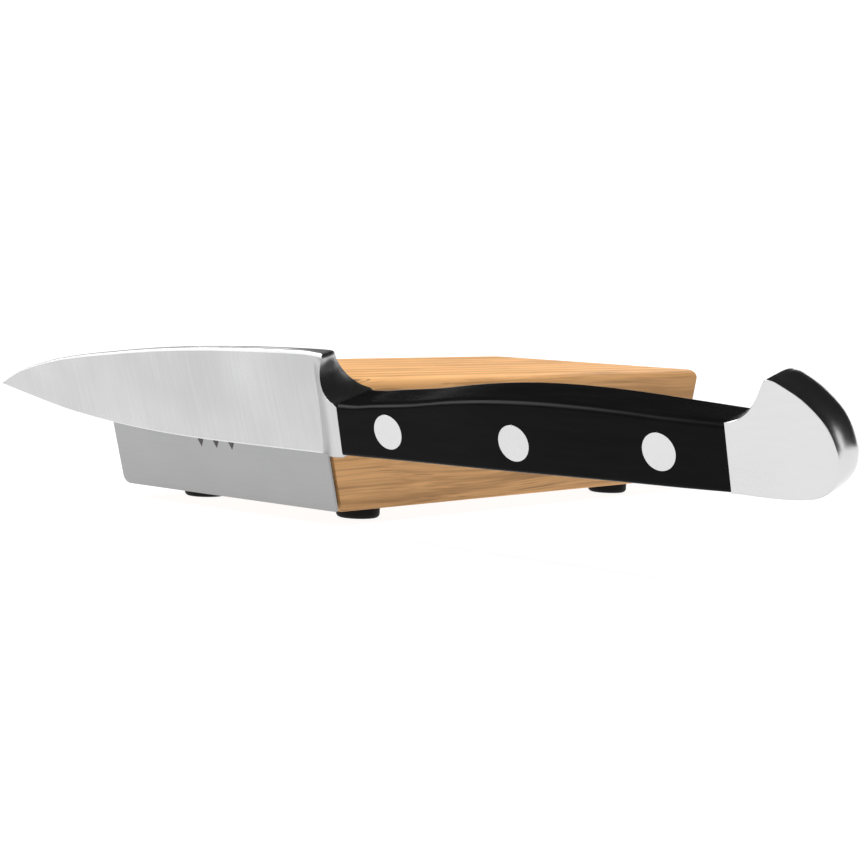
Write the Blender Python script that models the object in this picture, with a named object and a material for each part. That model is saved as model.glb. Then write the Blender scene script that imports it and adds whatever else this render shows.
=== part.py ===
"""Magnetic knife block with one forged paring knife.

A solid wood block on four rubber feet carries a thin steel face plate on its front end, which
leans forward. Bar magnets and a steel backing bar sit in a pocket behind the plate, and the
knife lies flat on the plate, edge down, tip to the left, with its handle beyond the block.

Metres, +Z up, front towards -Y. The origin is the centre of the whole object's footprint box, on
the surface that the feet stand on.

Knife places are written in the plate's own frame: x to the right from the plate's right edge,
height up along the plate from its bottom edge, and depth out of the plate towards the viewer.
"""
import math

import bmesh
import bpy
from mathutils import Matrix, Vector

MM = 0.001

# Gap between pieces that touch on the real object.
GAP = 0.3 * MM
SEAM = 0.2 * MM

# Block
BLOCK_WIDTH = 64.0 * MM
BLOCK_HEIGHT = 26.5 * MM
BLOCK_BOTTOM_DEPTH = 118.4 * MM
END_LEAN = math.radians(15.2)
TOP_EDGE_RADIUS = 2.2 * MM
SMALL_CHAMFER = 0.6 * MM

# Face plate and the tape that bonds it
PLATE_THICKNESS = 0.6 * MM
TAPE_THICKNESS = 0.5 * MM
TAPE_INSET = 1.0 * MM
PLATE_LEFT_CORNER = 1.9 * MM
PLATE_RIGHT_CORNER = 0.4 * MM
PLATE_SLANT = BLOCK_HEIGHT / math.cos(END_LEAN)
WOOD_SET_BACK = PLATE_THICKNESS + TAPE_THICKNESS + 2 * SEAM

# Magnet pocket, milled square to the leaning front end
POCKET_WIDTH = 58.0 * MM
POCKET_HEIGHT = 18.0 * MM
BACKING_THICKNESS = 6.0 * MM
MAGNET_COUNT = 4
MAGNET_WIDTH = 13.0 * MM
MAGNET_HEIGHT = 16.0 * MM
MAGNET_THICKNESS = 5.0 * MM
POCKET_DEPTH = BACKING_THICKNESS + MAGNET_THICKNESS + 3 * GAP

# Feet
FOOT_RADIUS = 4.55 * MM
FOOT_HEIGHT = 2.9 * MM
FOOT_EDGE_RADIUS = 0.9 * MM
FOOT_SIDE_INSET = 8.9 * MM
FOOT_FRONT_INSET = 15.8 * MM
FOOT_BACK_INSET = 16.5 * MM

# Knife: how far its centre plane stands off the plate, and its outline
KNIFE_DEPTH = 1.4 * MM
TIP_X = -98.7 * MM
BLADE_HALF_SPINE = 1.2 * MM
BLADE_HALF_EDGE = 0.15 * MM
BLADE_SPINE = [(-98.7, 21.3), (-90.7, 24.5), (-76.4, 28.0), (-57.3, 30.6), (-38.2, 32.5),
               (-19.1, 33.6), (0.0, 34.1), (6.7, 33.9)]
BLADE_EDGE = [(-98.7, 20.7), (-90.0, 19.0), (-76.4, 16.3), (-57.3, 14.1), (-38.2, 13.1),
              (-19.1, 12.9), (0.0, 12.9)]

# Bolster, narrow along its top, and the round scoop behind it
HEEL_X = 1.1 * MM
BOLSTER_TOP = (6.7 * MM, 33.9 * MM)
BOLSTER_HALF_TOP = 0.95 * MM
BOLSTER_SHOULDER = 27.0 * MM
BOLSTER_LOW = 13.0 * MM
BOLSTER_RISE = 0.17
BOLSTER_FLARE_POWER = 1.6
SCOOP_CENTRE = (11.9 * MM, 31.4 * MM)
SCOOP_RADIUS = 6.1 * MM

# Handle; its front joint leans back by this much for each unit of height
SCALE_FRONT = 11.25 * MM
SCALE_BACK = 98.0 * MM
FRONT_JOINT_LEAN = 0.038
HALF_THICKNESS = [(11.2, 5.5), (24.0, 5.7), (54.6, 6.3), (85.2, 5.6), (98.0, 4.9)]
HANDLE_TOP = [(11.2, 25.4), (15.4, 25.5), (20.1, 26.0), (29.6, 26.9), (39.1, 28.2), (48.5, 29.1),
              (58.0, 29.5), (67.4, 29.5), (76.9, 29.2), (86.3, 28.7), (98.0, 28.2)]
HANDLE_BOTTOM = [(11.2, 15.0), (39.0, 15.6), (67.0, 16.1), (98.0, 16.1)]
HANDLE_EDGE_RADIUS = 1.2 * MM

# Enclosed tang
TANG_HALF = 1.5 * MM
TANG_MARGIN = 3.0 * MM

# Handle rivets
RIVET_X = (24.0 * MM, 54.4 * MM, 84.9 * MM)
RIVET_Z = (20.9 * MM, 21.5 * MM, 22.4 * MM)
RIVET_HEAD_RADIUS = 3.4 * MM
RIVET_HEAD_DEPTH = 2.0 * MM
RIVET_TUBE_RADIUS = 2.3 * MM
RIVET_BORE_RADIUS = 1.5 * MM
RIVET_CLEARANCE = 0.15 * MM

# Pommel: its side outline, and how far the butt bulges between its two rims
POMMEL_OUTLINE = [(98.0, 28.3), (100.4, 29.1), (102.7, 30.8), (104.3, 33.0), (105.8, 35.6),
                  (107.3, 35.9), (109.7, 34.8), (112.8, 32.7), (115.8, 29.4), (117.4, 25.6),
                  (117.8, 22.3), (116.8, 18.9), (114.2, 16.7), (110.4, 15.9), (104.0, 15.8),
                  (98.0, 16.1)]
HALF_AT_BUTT = 3.8 * MM
BUTT_X = 117.8 * MM
BUTT_BULGE = 1.6 * MM
BULGE_DIRECTION = math.radians(35)

ROUND_SEGMENTS = 24


# ---------------------------------------------------------------- helpers

def clear_scene():
    for item in list(bpy.data.objects):
        bpy.data.objects.remove(item, do_unlink=True)


def material(name, colour, roughness, metallic=0.0):
    """A plain Principled material; made once for each name."""
    found = bpy.data.materials.get(name)
    if found:
        return found
    made = bpy.data.materials.new(name)
    made.use_nodes = True
    shader = made.node_tree.nodes["Principled BSDF"]
    shader.inputs["Base Color"].default_value = (*colour, 1.0)
    shader.inputs["Roughness"].default_value = roughness
    shader.inputs["Metallic"].default_value = metallic
    return made


def new_object(name, bm, surface=None, parent=None):
    """Turns a bmesh into a named object with outward faces."""
    bmesh.ops.recalc_face_normals(bm, faces=bm.faces)
    mesh = bpy.data.meshes.new(name)
    bm.to_mesh(mesh)
    bm.free()
    made = bpy.data.objects.new(name, mesh)
    bpy.context.collection.objects.link(made)
    made.parent = parent
    if surface:
        mesh.materials.append(surface)
    return made


def smooth_round(item, degrees=35):
    item.data.shade_smooth()
    item.data.set_sharp_from_angle(angle=math.radians(degrees))


def through(stations):
    """A smooth height over x through a few (x, height) stations, given in millimetres."""
    xs = [x * MM for x, _ in stations]
    hs = [h * MM for _, h in stations]
    last = len(xs) - 1

    def slope(i):
        a, b = max(i - 1, 0), min(i + 1, last)
        return (hs[b] - hs[a]) / (xs[b] - xs[a])

    def height(x):
        i = 0
        while i < last - 1 and x > xs[i + 1]:
            i += 1
        span = xs[i + 1] - xs[i]
        s = min(max((x - xs[i]) / span, 0.0), 1.0)
        low_weight = 2 * s ** 3 - 3 * s ** 2 + 1
        return (low_weight * hs[i] + (1 - low_weight) * hs[i + 1]
                + (s ** 3 - 2 * s ** 2 + s) * span * slope(i)
                + (s ** 3 - s ** 2) * span * slope(i + 1))

    return height


def ease(value, start, end):
    """0 before start, 1 after end, smooth between."""
    s = min(max((value - start) / (end - start), 0.0), 1.0)
    return s * s * (3 - 2 * s)


def mix(a, b, s):
    return a + (b - a) * s


def arc(centre, radius, start, end, steps):
    """Points on an arc between two angles in degrees, ends included."""
    angles = [math.radians(mix(start, end, i / steps)) for i in range(steps + 1)]
    return [(centre[0] + radius * math.cos(a), centre[1] + radius * math.sin(a)) for a in angles]


def loft(rings):
    """A closed body through equal rings of points, with a flat face at each end."""
    bm = bmesh.new()
    made = [[bm.verts.new(point) for point in ring] for ring in rings]
    count = len(made[0])
    for near, far in zip(made, made[1:]):
        for i in range(count):
            j = (i + 1) % count
            bm.faces.new((near[i], near[j], far[j], far[i]))
    bm.faces.new(reversed(made[0]))
    bm.faces.new(made[-1])
    return bm


def cut(item, tool, operation="DIFFERENCE"):
    """Boolean on item with a tool object, which is then only a guide."""
    step = item.modifiers.new(tool.name, "BOOLEAN")
    step.operation = operation
    step.object = tool
    tool.hide_render = True
    tool.display_type = "WIRE"


def box_body(low, high):
    bm = bmesh.new()
    bmesh.ops.create_cube(bm, size=1.0)
    for vert in bm.verts:
        for axis in range(3):
            vert.co[axis] = mix(low[axis], high[axis], vert.co[axis] + 0.5)
    return bm


def chamfer(bm, edges, width, segments=1):
    bmesh.ops.bevel(bm, geom=edges, offset=width, offset_type="OFFSET", segments=segments,
                    profile=0.5, affect="EDGES", clamp_overlap=True)


def turned(profile, segments=ROUND_SEGMENTS):
    """A body turned about Z from (radius, height) points; ends on the axis close it."""
    bm = bmesh.new()
    rings = []
    for radius, height in profile:
        if radius < 1e-9:
            rings.append([bm.verts.new((0, 0, height))])
            continue
        ring = []
        for i in range(segments):
            a = 2 * math.pi * i / segments
            ring.append(bm.verts.new((radius * math.cos(a), radius * math.sin(a), height)))
        rings.append(ring)
    for low, high in zip(rings, rings[1:]):
        for i in range(segments):
            j = (i + 1) % segments
            corners = [low[i % len(low)], low[j % len(low)], high[j % len(high)],
                       high[i % len(high)]]
            bm.faces.new(list(dict.fromkeys(corners)))
    return bm


# ---------------------------------------------------------------- block

def wood_front(height):
    """Y of the wood's leaning front face at a height above the underside, block frame."""
    return WOOD_SET_BACK / math.cos(END_LEAN) - height * math.tan(END_LEAN)


def wood_back(height):
    return BLOCK_BOTTOM_DEPTH + wood_front(0.0) + height * math.tan(END_LEAN)


def front_frame(parent):
    """Empty on the plate's bottom right corner, tilted so that its -Y leaves the plate."""
    frame = bpy.data.objects.new("front_frame", None)
    bpy.context.collection.objects.link(frame)
    frame.parent = parent
    frame.location = (BLOCK_WIDTH / 2, 0.0, FOOT_HEIGHT)
    frame.rotation_euler = (END_LEAN, 0.0, 0.0)
    return frame


def pocket_cutter(front):
    """The milled magnet pocket, cut from in front of the wood."""
    centre = (-BLOCK_WIDTH / 2, PLATE_SLANT / 2)
    low = (centre[0] - POCKET_WIDTH / 2, WOOD_SET_BACK - 2 * MM, centre[1] - POCKET_HEIGHT / 2)
    high = (centre[0] + POCKET_WIDTH / 2, WOOD_SET_BACK + POCKET_DEPTH,
            centre[1] + POCKET_HEIGHT / 2)
    return new_object("pocket_cutter", box_body(low, high), parent=front)


def wood_block(root, front):
    half = BLOCK_WIDTH / 2
    bm = bmesh.new()
    corners = {}
    for side in (-1, 1):
        for place, y, z in (("front_low", wood_front(0), 0), ("back_low", wood_back(0), 0),
                            ("back_top", wood_back(BLOCK_HEIGHT), BLOCK_HEIGHT),
                            ("front_top", wood_front(BLOCK_HEIGHT), BLOCK_HEIGHT)):
            corners[side, place] = bm.verts.new((side * half, y, z + FOOT_HEIGHT))
    order = ("front_low", "back_low", "back_top", "front_top")
    bm.faces.new([corners[1, p] for p in order])
    bm.faces.new([corners[-1, p] for p in reversed(order)])
    for a, b in zip(order, order[1:] + order[:1]):
        bm.faces.new((corners[-1, a], corners[-1, b], corners[1, b], corners[1, a]))
    top = BLOCK_HEIGHT + FOOT_HEIGHT - 1e-6
    front_corners = {corners[s, p] for s in (-1, 1) for p in ("front_low", "front_top")}
    rounded = [e for e in bm.edges
               if all(v.co.z > top for v in e.verts) and not set(e.verts) <= front_corners]
    plain = [e for e in bm.edges if e not in rounded]
    chamfer(bm, rounded, TOP_EDGE_RADIUS, segments=4)
    plain = [e for e in plain if e.is_valid and e.calc_length() > 5 * MM]
    chamfer(bm, plain, SMALL_CHAMFER)
    block = new_object("wood_block", bm, material("oak", (0.56, 0.36, 0.19), 0.55), root)
    cut(block, pocket_cutter(front))
    return block


def plate_outline(inset, left_radius, right_radius):
    """Outline of a leaning plate in its own frame: width along X, slant height along Z."""
    left, right = -BLOCK_WIDTH + inset, -inset
    low, high = inset, PLATE_SLANT - inset
    lr, rr = left_radius, right_radius
    return (arc((left + lr, low + lr), lr, 180, 270, 5) + arc((right - rr, low + rr), rr, 270, 360, 3)
            + arc((right - rr, high - rr), rr, 0, 90, 3) + arc((left + lr, high - lr), lr, 90, 180, 5))


def sheet_body(outline, near, far):
    """A flat sheet between two depths behind the plate's front plane."""
    return loft([[(x, depth, z) for x, z in outline] for depth in (near, far)])


def face_plate(front):
    outline = plate_outline(0.0, PLATE_LEFT_CORNER, PLATE_RIGHT_CORNER)
    return new_object("face_plate", sheet_body(outline, 0.0, PLATE_THICKNESS),
                      material("satin_plate", (0.42, 0.42, 0.43), 0.45, 1.0), front)


def bonding_tape(front):
    outline = plate_outline(TAPE_INSET, 1.0 * MM, 1.0 * MM)
    near = PLATE_THICKNESS + SEAM
    return new_object("bonding_tape", sheet_body(outline, near, near + TAPE_THICKNESS),
                      material("tape", (0.05, 0.035, 0.025), 0.8), front)


def backing_bar(front):
    near = WOOD_SET_BACK + POCKET_DEPTH - GAP - BACKING_THICKNESS
    half_w, half_h = POCKET_WIDTH / 2 - GAP, POCKET_HEIGHT / 2 - GAP
    x, z = -BLOCK_WIDTH / 2, PLATE_SLANT / 2
    bm = box_body((x - half_w, near, z - half_h), (x + half_w, near + BACKING_THICKNESS, z + half_h))
    chamfer(bm, list(bm.edges), 0.5 * MM)
    return new_object("backing_bar", bm, material("bar_steel", (0.30, 0.30, 0.31), 0.5, 1.0), front)


def magnets(front):
    pitch = POCKET_WIDTH / MAGNET_COUNT
    near = WOOD_SET_BACK + GAP
    z = PLATE_SLANT / 2
    surface = material("nickel", (0.66, 0.66, 0.64), 0.25, 1.0)
    for i in range(MAGNET_COUNT):
        x = -BLOCK_WIDTH / 2 + (i - (MAGNET_COUNT - 1) / 2) * pitch
        bm = box_body((x - MAGNET_WIDTH / 2, near, z - MAGNET_HEIGHT / 2),
                      (x + MAGNET_WIDTH / 2, near + MAGNET_THICKNESS, z + MAGNET_HEIGHT / 2))
        chamfer(bm, list(bm.edges), 0.4 * MM)
        new_object(f"magnet_{i + 1}", bm, surface, front)


def feet(root):
    """Four turned rubber feet, each standing free of the underside by the gap."""
    r, edge = FOOT_RADIUS, FOOT_EDGE_RADIUS
    profile = [(0.0, FOOT_HEIGHT - GAP), (r, FOOT_HEIGHT - GAP)]
    profile += arc((r - edge, edge), edge, 0, -90, 4) + [(0.0, 0.0)]
    surface = material("rubber", (0.012, 0.012, 0.012), 0.7)
    side = BLOCK_WIDTH / 2 - FOOT_SIDE_INSET
    for row, y in (("front", FOOT_FRONT_INSET), ("back", wood_back(0.0) - FOOT_BACK_INSET)):
        for hand, x in (("left", -side), ("right", side)):
            foot = new_object(f"foot_{row}_{hand}", turned(profile), surface, root)
            foot.location = (x, y, 0.0)
            smooth_round(foot)


# ---------------------------------------------------------------- knife

spine_line = through(BLADE_SPINE)
edge_line = through(BLADE_EDGE)
handle_top = through(HANDLE_TOP)
handle_bottom = through(HANDLE_BOTTOM)
half_thickness = through(HALF_THICKNESS)


def section(x, low, high, half_low, half_high, r_low, r_high, steps=2):
    """Ring across the knife at x: a box, or a wedge, with four rounded corners."""
    y0 = -KNIFE_DEPTH
    ring = arc((half_low - r_low, low + r_low), r_low, 270, 360, steps)
    ring += arc((half_high - r_high, high - r_high), r_high, 0, 90, steps)
    ring += [(-y, z) for y, z in reversed(ring)]
    return [(x, y0 - y, z) for y, z in ring]


def blade_stations():
    count = 12
    for i in range(count + 1):
        x = mix(TIP_X, 0.0, (i / count) ** 0.9)
        grow = 1 - x / TIP_X
        half_high = mix(0.25 * MM, BLADE_HALF_SPINE, grow ** 0.7)
        yield section(x, edge_line(x), spine_line(x), BLADE_HALF_EDGE, half_high,
                      0.1 * MM, 0.2 * MM)
    root = HEEL_X + 1.2 * MM
    yield section(root, edge_line(0.0) + GAP, spine_line(root) - GAP, BLADE_HALF_EDGE,
                  BLADE_HALF_SPINE - 0.1 * MM, 0.1 * MM, 0.2 * MM)


def bolster_side(half, low, high):
    """One side of a bolster ring, bottom to top: upright, then arched in to the thin top."""
    bottom = 0.3 * MM
    side = [(half - bottom, low), (half, low + bottom), (half, mix(low, BOLSTER_SHOULDER, 0.5))]
    for s in (0.0, 0.35, 0.6, 0.8, 0.93, 1.0):
        narrowed = BOLSTER_HALF_TOP + (half - BOLSTER_HALF_TOP) * (1 - s * s) ** 0.85
        side.append((narrowed, mix(BOLSTER_SHOULDER, high, s)))
    return side


def bolster_stations():
    """Rings that flare from the blade to the handle, the last ones leaning with the joint."""
    count = 12
    for i in range(count + 1):
        s = i / count
        x = mix(HEEL_X, SCALE_FRONT, s)
        lean = FRONT_JOINT_LEAN * s
        flare = 1 - (1 - s) ** BOLSTER_FLARE_POWER
        half = mix(BLADE_HALF_SPINE, half_thickness(SCALE_FRONT), flare)
        low = BOLSTER_LOW + (x - HEEL_X) * BOLSTER_RISE
        middle = mix(low, BOLSTER_SHOULDER, 0.5)
        side = bolster_side(half, low, spine_line(min(x, BOLSTER_TOP[0])))
        ring = side + [(-y, z) for y, z in reversed(side)]
        yield [(x + lean * (z - middle), -KNIFE_DEPTH - y, z) for y, z in ring]


def scoop_cutter(knife):
    """Takes away what is above the scoop: an arc that runs out into the handle's top line."""
    (cx, cz), r = SCOOP_CENTRE, SCOOP_RADIUS
    start = math.degrees(math.atan2(BOLSTER_TOP[1] - cz, BOLSTER_TOP[0] - cx))
    reach = 20 * MM
    outline = arc(SCOOP_CENTRE, r, start, 270, 14)
    outline += [(cx + reach, cz - r), (cx + reach, cz + r), (BOLSTER_TOP[0], cz + r)]
    rings = [[(x, -KNIFE_DEPTH + side * reach, z) for x, z in outline] for side in (-1, 1)]
    return new_object("scoop_cutter", loft(rings), parent=knife)


def tang_body(start, end, clearance=0.0):
    """The flat tang that the scales close over, or its pocket when given a clearance."""
    half = TANG_HALF + clearance
    rings = []
    steps = 10
    for i in range(steps + 1):
        x = mix(start, end, i / steps)
        at = min(max(x, SCALE_FRONT), SCALE_BACK)
        low = handle_bottom(at) + TANG_MARGIN - clearance
        high = handle_top(at) - TANG_MARGIN + clearance
        rings.append([(x, -KNIFE_DEPTH + side * half, z)
                      for side, z in ((-1, low), (1, low), (1, high), (-1, high))])
    return loft(rings)


def smoothed(points, steps):
    """A finer outline through the same points; its first and last points stay the ends."""
    fine = []
    last = len(points) - 1
    for i in range(last):
        a, b = Vector(points[max(i - 1, 0)]), Vector(points[i])
        c, d = Vector(points[i + 1]), Vector(points[min(i + 2, last)])
        for k in range(steps):
            s = k / steps
            fine.append(0.5 * (2 * b + (c - a) * s + (2 * a - 5 * b + 4 * c - d) * s ** 2
                               + (3 * b - a - 3 * c + d) * s ** 3))
    return fine + [Vector(points[-1])]


def outline_normal(points, i):
    """Outward direction at a corner of an outline that runs clockwise."""
    before, after = points[i - 1], points[(i + 1) % len(points)]
    along = (after - before).normalized()
    return Vector((-along.y, along.x))


def pommel_body():
    """The pommel's side outline through its thickness, its butt bulging between the rims."""
    outline = smoothed([(x * MM, z * MM) for x, z in POMMEL_OUTLINE], 3)
    direction = Vector((math.cos(BULGE_DIRECTION), math.sin(BULGE_DIRECTION)))
    rings = []
    for level in (-1.0, -0.75, -0.4, 0.0, 0.4, 0.75, 1.0):
        ring = []
        for i, (x, z) in enumerate(outline):
            facing = outline_normal(outline, i).dot(direction)
            out = direction * BUTT_BULGE * ease(facing, 0.3, 0.95) * (1 - level ** 2)
            half = mix(half_thickness(SCALE_BACK), HALF_AT_BUTT,
                       (x - SCALE_BACK) / (BUTT_X - SCALE_BACK))
            ring.append((x + out.x, -KNIFE_DEPTH - level * half, z + out.y))
        rings.append(ring)
    return loft(rings)


def across_knife(body, x, z):
    """Moves a body turned about Z so that its axis runs through the knife at (x, z)."""
    turn = Matrix.Rotation(math.pi / 2, 4, "X")
    body.transform(Matrix.Translation((x, -KNIFE_DEPTH, z)) @ turn)
    return body


def hole_guide(name, knife, profile_at):
    """One guide with a turned cutter at each rivet; profile_at(x) is its outline."""
    joined = bmesh.new()
    for x, z in zip(RIVET_X, RIVET_Z):
        body = across_knife(turned(profile_at(x)), x, z)
        mesh = bpy.data.meshes.new("hole")
        body.to_mesh(mesh)
        joined.from_mesh(mesh)
        body.free()
        bpy.data.meshes.remove(mesh)
    return new_object(name, joined, parent=knife)


def straight_hole(x):
    radius, reach = RIVET_TUBE_RADIUS + RIVET_CLEARANCE, 2 * half_thickness(x)
    return [(0.0, -reach), (radius, -reach), (radius, reach), (0.0, reach)]


def stepped_hole(x):
    """A through hole with a wider seat for a rivet head at each side."""
    radius, seat = RIVET_TUBE_RADIUS + RIVET_CLEARANCE, RIVET_HEAD_RADIUS + RIVET_CLEARANCE
    reach, floor = 2 * half_thickness(x), half_thickness(x) - RIVET_HEAD_DEPTH - RIVET_CLEARANCE
    return [(0.0, -reach), (seat, -reach), (seat, -floor), (radius, -floor),
            (radius, floor), (seat, floor), (seat, reach), (0.0, reach)]


def knife_forging(knife):
    """Blade, bolster, tang and pommel: one forged piece, drilled for the rivets."""
    steel = material("forged_steel", (0.60, 0.60, 0.60), 0.32, 1.0)
    blade = new_object("blade_guide", loft(list(blade_stations())), parent=knife)
    forging = new_object("knife_forging", loft(list(bolster_stations())), steel, knife)
    cut(forging, scoop_cutter(knife))
    cut(forging, blade, "UNION")
    tang = new_object("tang_guide", tang_body(SCALE_FRONT - 3 * MM, SCALE_BACK + 4 * MM),
                      parent=knife)
    pommel = new_object("pommel_guide", pommel_body(), parent=knife)
    cut(forging, tang, "UNION")
    cut(forging, pommel, "UNION")
    cut(forging, hole_guide("tang_holes", knife, straight_hole))
    smooth_round(forging, 30)


def scale_ring(x, lean, side):
    """Half of the handle's section at x, closed along the seam between the two halves."""
    half = half_thickness(x)
    low, high, r = handle_bottom(x), handle_top(x), HANDLE_EDGE_RADIUS
    seam = GAP / 2
    half_ring = [(seam, low)] + arc((half - r, low + r), r, 270, 360, 2)
    half_ring += arc((half - r, high - r), r, 0, 90, 2) + [(seam, high)]
    middle = (low + high) / 2
    return [(x + lean * (z - middle), -KNIFE_DEPTH + side * y, z) for y, z in half_ring]


def handle_scale(name, knife, side, tang_pocket, holes):
    """Half of the handle: it meets the other half over the tang, and holds half of it."""
    front, back = SCALE_FRONT + GAP, SCALE_BACK - GAP
    steps = 20
    rings = [scale_ring(mix(front, back, i / steps), FRONT_JOINT_LEAN * max(0, 1 - i / 4), side)
             for i in range(steps + 1)]
    scale = new_object(name, loft(rings), material("black_plastic", (0.012, 0.012, 0.012), 0.38), knife)
    cut(scale, tang_pocket)
    cut(scale, holes)
    smooth_round(scale)


def rivets(knife):
    """Two-part rivets: a tube half from the near side and a pin half from the far side."""
    steel = material("rivet_steel", (0.62, 0.62, 0.62), 0.3, 1.0)
    for number, (x, z) in enumerate(zip(RIVET_X, RIVET_Z), 1):
        half = half_thickness(x)
        seat = half - RIVET_HEAD_DEPTH
        far_end = -seat + GAP
        tube = [(0.0, seat + GAP), (RIVET_BORE_RADIUS, seat + GAP), (RIVET_BORE_RADIUS, far_end),
                (RIVET_TUBE_RADIUS, far_end), (RIVET_TUBE_RADIUS, seat), (RIVET_HEAD_RADIUS, seat),
                (RIVET_HEAD_RADIUS, half), (0.0, half)]
        pin_radius = RIVET_BORE_RADIUS - RIVET_CLEARANCE
        pin = [(0.0, seat - GAP), (pin_radius, seat - GAP), (pin_radius, -seat),
               (RIVET_HEAD_RADIUS, -seat), (RIVET_HEAD_RADIUS, -half), (0.0, -half)]
        for kind, profile in (("tube", tube), ("pin", pin)):
            body = across_knife(turned(profile), x, z)
            smooth_round(new_object(f"rivet_{number}_{kind}", body, steel, knife))


def knife(front):
    """Everything that lifts off the plate, under one empty."""
    frame = bpy.data.objects.new("knife_frame", None)
    bpy.context.collection.objects.link(frame)
    frame.parent = front
    knife_forging(frame)
    pocket = new_object("tang_pocket", tang_body(SCALE_FRONT - 2 * MM, SCALE_BACK + 2 * MM, GAP),
                        parent=frame)
    holes = hole_guide("scale_holes", frame, stepped_hole)
    handle_scale("scale_near", frame, -1, pocket, holes)
    handle_scale("scale_far", frame, 1, pocket, holes)
    rivets(frame)


# ---------------------------------------------------------------- the whole

def centre_on_footprint(root):
    """Moves everything so that the footprint box of all solids is centred on the origin."""
    bpy.context.view_layer.update()
    graph = bpy.context.evaluated_depsgraph_get()
    low, high = Vector((1e9, 1e9)), Vector((-1e9, -1e9))
    for item in bpy.data.objects:
        if item.type != "MESH" or item.hide_render:
            continue
        shape = item.evaluated_get(graph)
        for vert in shape.data.vertices:
            place = shape.matrix_world @ vert.co
            low = Vector(map(min, low, place.xy))
            high = Vector(map(max, high, place.xy))
    root.location.xy = -(low + high) / 2


def main():
    clear_scene()
    root = bpy.data.objects.new("whole", None)
    bpy.context.collection.objects.link(root)
    front = front_frame(root)
    wood_block(root, front)
    face_plate(front)
    bonding_tape(front)
    backing_bar(front)
    magnets(front)
    feet(root)
    knife(front)
    centre_on_footprint(root)


main()
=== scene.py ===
"""Looks for the magnetic knife block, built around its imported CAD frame.

Lengths are in millimetres until a mesh is made. The plate and the knife are written in the plate's
own frame: x to the right from the plate's right edge, y behind the plate's front plane, and z up
along it. The block and its feet are written in the row frame.
"""
import math

import bmesh
import bpy
from mathutils import Matrix, Vector


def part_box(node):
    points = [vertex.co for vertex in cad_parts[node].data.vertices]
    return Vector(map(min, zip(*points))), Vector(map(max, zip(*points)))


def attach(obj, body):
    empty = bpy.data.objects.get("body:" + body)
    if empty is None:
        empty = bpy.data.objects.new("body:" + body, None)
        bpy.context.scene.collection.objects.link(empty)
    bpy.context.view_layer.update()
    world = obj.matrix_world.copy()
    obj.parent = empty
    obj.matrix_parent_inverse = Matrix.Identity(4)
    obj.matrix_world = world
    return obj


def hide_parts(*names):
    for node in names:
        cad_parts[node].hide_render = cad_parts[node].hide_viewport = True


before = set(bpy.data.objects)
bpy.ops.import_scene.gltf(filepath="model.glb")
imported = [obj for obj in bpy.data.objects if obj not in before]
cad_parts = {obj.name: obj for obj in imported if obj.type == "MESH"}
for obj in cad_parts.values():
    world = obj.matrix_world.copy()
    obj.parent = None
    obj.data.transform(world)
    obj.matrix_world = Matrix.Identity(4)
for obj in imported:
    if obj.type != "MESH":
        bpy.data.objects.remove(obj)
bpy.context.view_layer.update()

MM = 0.001
SAME_POINT = 1e-5

# Block and plate, as in the CAD
BLOCK_HEIGHT = 26.5
BLOCK_BOTTOM_DEPTH = 118.38
END_LEAN = math.radians(15.2)
TOP_EDGE_RADIUS = 2.2
SMALL_EDGE_CHAMFER = 0.6
UNDER_EDGE_CHAMFER = 0.15
PLATE_THICKNESS = 0.6
WOOD_SET_BACK = 1.5
TAPE_INSET = 0.9
PLATE_LEFT_CORNER = 1.9
PLATE_RIGHT_CORNER = 0.4
PLATE_EDGE_RADIUS = 0.12
PLATE_SUPPORT_INSET = 1.5
FOOT_EDGE_RADIUS = 0.9
FOOT_TOP_RADIUS = 0.2
FOOT_FLAT_RING = 0.5
FIT_GAP = 0.02

# Plain diamond marks pressed into the middle of the plate
MARK_PITCH = 4.6
MARK_HALF_WIDTH = 1.7
MARK_HALF_HEIGHT = 3.0
MARK_HEIGHT = 12.2
MARK_DEPTH = 0.35
MARK_FINISH = 1

# Knife
KNIFE_DEPTH = 1.4
TIP_X = -98.7
BLADE_SPINE = [(-98.7, 21.1), (-90.7, 24.5), (-76.4, 28.0), (-57.3, 30.6), (-38.2, 32.5),
               (-19.1, 33.6), (0.0, 34.1), (6.4, 33.9)]
BLADE_EDGE = [(-98.7, 20.9), (-90.0, 19.0), (-76.4, 16.3), (-57.3, 14.1), (-38.2, 13.1),
              (-19.1, 12.9), (0.0, 12.9)]
SPINE_END_X = 6.4
SPINE_END_DROP = 0.25
HALF_SPINE = 1.2
HALF_TIP = 0.25
HALF_BEVEL = 0.12
HALF_EDGE = 0.03
BEVEL_SHARE = 0.014
SPINE_RADIUS = 0.7
SPINE_CROWN = 0.18

HEEL_X = 1.1
BOLSTER_LOW = 13.0
BOLSTER_RISE = 0.17
BOLSTER_SHOULDER = 27.0
BOLSTER_TOP = 33.9
BOLSTER_HALF_TOP = 0.95
PLUNGE = [(13.3, 0.1), (19.6, 1.2), (26.8, 1.9), (34.0, 2.3)]
PLUNGE_CORNER = (31.8, 3.5)
HOLLOW_SHARE = 0.12
FLARE_EASE = 0.44
SCOOP_CENTRE = (11.9, 31.4)
SCOOP_RADIUS = 6.1
SCOOP_CROWN = 0.5
SCOOP_RIM = 0.12

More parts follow.
